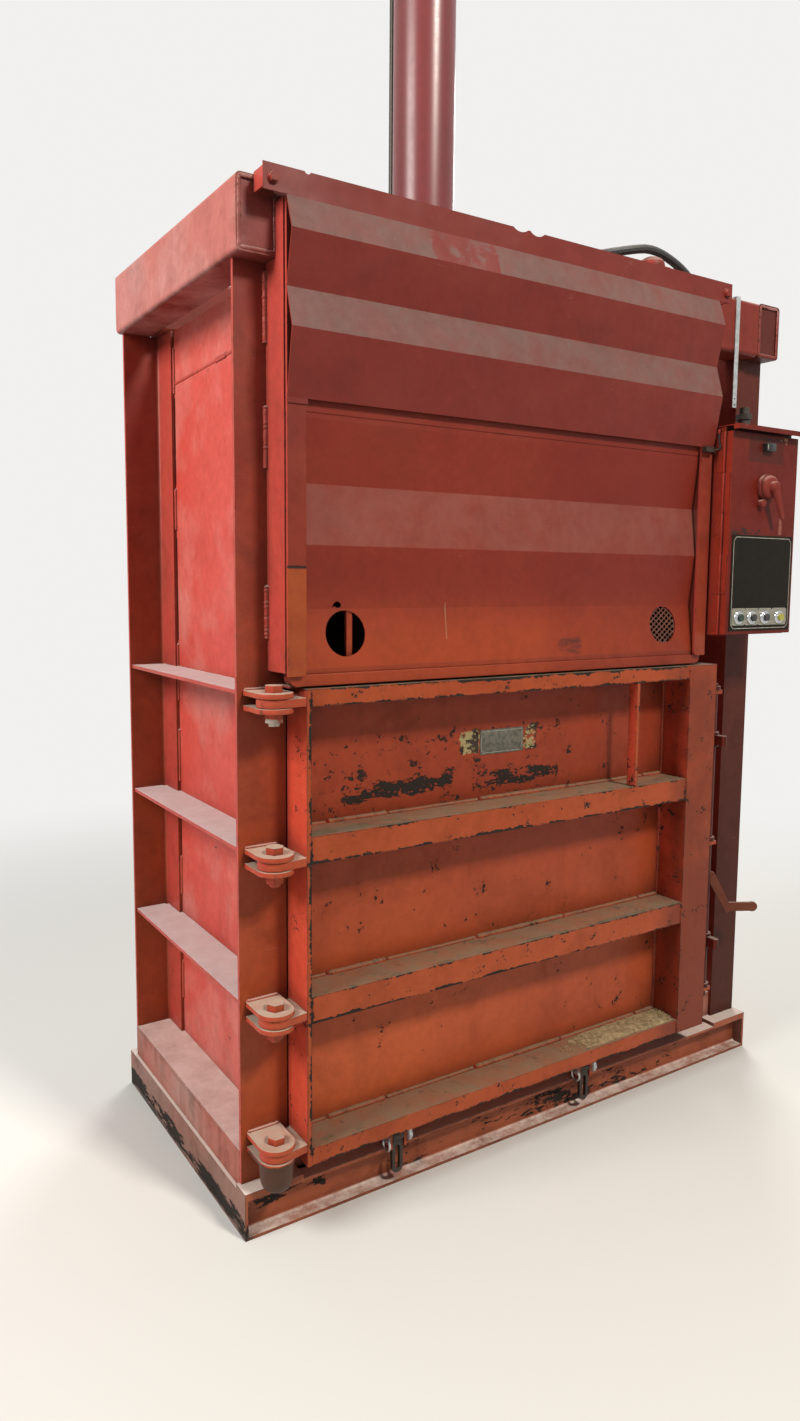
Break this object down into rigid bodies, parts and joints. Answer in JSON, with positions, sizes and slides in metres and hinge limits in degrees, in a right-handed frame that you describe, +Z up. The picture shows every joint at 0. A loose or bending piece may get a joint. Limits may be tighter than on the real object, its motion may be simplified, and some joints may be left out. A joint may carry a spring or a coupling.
{
  "type": "vertical recycling baler",
  "caption": "Upright press with a hinged, railed door, a pleated sliding feed gate under a hood, a ram cylinder on top and a control box on the right post.",
  "frame": {"origin": "on the floor under the middle of the base", "axes": "+Z up, +X to the right of someone facing the door, +Y to the back"},
  "size_m": [1.83, 1.01, 3.78],
  "materials": {
    "frame_paint": "worn semi-gloss",
    "door_paint": "faded and worn",
    "wall_paint": "faded and scuffed",
    "hood_paint": "faded under dust",
    "shelf_paint": "dusty",
    "cylinder_paint": "glossy",
    "box_paint": "semi-gloss",
    "dark_steel": "dull and oxidised",
    "bare_steel": "worn bare",
    "zinc": "zinc plated",
    "rod_chrome": "hard chrome",
    "cast_grey": "as cast",
    "black_plate": "satin",
    "black_plastic": "satin",
    "fitting_black": "satin",
    "hose_rubber": "matt",
    "cable_jacket": "matt",
    "button_green": "gloss",
    "button_black": "gloss",
    "button_dark": "gloss",
    "button_yellow": "gloss"
  },
  "bodies": {
    "frame": {"base_frame": "frame_paint", "step_frame": "frame_paint", "floor_plate": "bare_steel", "post_front_left": "door_paint", "post_rear_left": "wall_paint", "post_front_right": "frame_paint", "post_rear_right": "frame_paint", "jamb_post_front": "frame_paint", "jamb_post_rear": "frame_paint", "wall_left": "wall_paint", "wall_right": "frame_paint", "wall_back": "frame_paint", "shelves": "shelf_paint", "side_beam_left": "wall_paint", "side_beam_right": "wall_paint", "header_front": "hood_paint", "header_rear": "frame_paint", "cylinder_mount": "frame_paint", "gate_guide_left": "frame_paint", "gate_guide_right": "frame_paint", "hood": "hood_paint", "hood_fixings": "dark_steel", "hinge_ears": "door_paint", "hinge_bolts": "dark_steel", "barrel": "cylinder_paint", "cylinder_head": "cylinder_paint", "feed_pipe": "dark_steel", "latch_bearings": "frame_paint", "control_box": "box_paint", "drip_cover": "box_paint", "conduit_connector": "fitting_black", "strap": "zinc", "gate_switch": "cast_grey", "switch_cable": "cable_jacket", "reservoir": "frame_paint", "power_pack": "cast_grey", "pressure_hose": "hose_rubber", "line_manifold": "cylinder_paint", "tie_brackets": "zinc"},
    "door": {"door_frame": "door_paint", "door_panel": "door_paint", "door_hinge_ears": "door_paint"},
    "gate": {"gate_frame": "hood_paint", "gate_sheet": "hood_paint", "gate_mesh": "dark_steel"},
    "ram": {"ram_rod": "rod_chrome", "platen": "bare_steel"},
    "latch": {"latch_shaft": "frame_paint", "latch_lever": "door_paint"},
    "lid": {"box_lid": "box_paint", "instruction_plate": "black_plate", "lid_fittings": "black_plastic"},
    "disconnect": {"disconnect_handle": "black_plastic"},
    "push_1": {"button_1": "button_green"},
    "push_2": {"button_2": "button_black"},
    "push_3": {"button_3": "button_dark"},
    "push_4": {"button_4": "button_yellow"},
    "link_left": {"tie_link_left": "dark_steel"},
    "link_right": {"tie_link_right": "dark_steel"}
  },
  "joints": [
    {"name": "door_swing", "type": "hinge", "parent": "frame", "child": "door", "pos_m": [-0.842, -0.454, 0.75], "axis": [0, 0, 1], "range_deg": [-110, 0]},
    {"name": "gate_slide", "type": "slide", "parent": "frame", "child": "gate", "axis": [0, 0, 1], "range_m": [0, 0.55]},
    {"name": "ram_slide", "type": "slide", "parent": "frame", "child": "ram", "axis": [0, 0, -1], "range_m": [0, 1.15]},
    {"name": "latch_turn", "type": "hinge", "parent": "frame", "child": "latch", "pos_m": [0.69, -0.42, 0.74], "axis": [0, 0, 1], "range_deg": [-90, 0]},
    {"name": "lid_swing", "type": "hinge", "parent": "frame", "child": "lid", "pos_m": [0.5755, -0.518, 1.69], "axis": [0, 0, 1], "range_deg": [-105, 0]},
    {"name": "disconnect_turn", "type": "hinge", "parent": "lid", "child": "disconnect", "pos_m": [0.737, -0.56, 1.836], "axis": [0, 1, 0], "range_deg": [-90, 0]},
    {"name": "press_1", "type": "slide", "parent": "lid", "child": "push_1", "axis": [0, 1, 0], "range_m": [0, 0.004], "stiffness_N_per_m": 500, "springref_m": -0.004},
    {"name": "press_2", "type": "slide", "parent": "lid", "child": "push_2", "axis": [0, 1, 0], "range_m": [0, 0.004], "stiffness_N_per_m": 500, "springref_m": -0.004},
    {"name": "press_3", "type": "slide", "parent": "lid", "child": "push_3", "axis": [0, 1, 0], "range_m": [0, 0.004], "stiffness_N_per_m": 500, "springref_m": -0.004},
    {"name": "press_4", "type": "slide", "parent": "lid", "child": "push_4", "axis": [0, 1, 0], "range_m": [0, 0.004], "stiffness_N_per_m": 500, "springref_m": -0.004},
    {"name": "link_swing_left", "type": "hinge", "parent": "frame", "child": "link_left", "pos_m": [-0.49, -0.432, 0.132], "axis": [1, 0, 0], "range_deg": [-80, 0]},
    {"name": "link_swing_right", "type": "hinge", "parent": "frame", "child": "link_right", "pos_m": [0.165, -0.432, 0.132], "axis": [1, 0, 0], "range_deg": [-80, 0]}
  ]
}
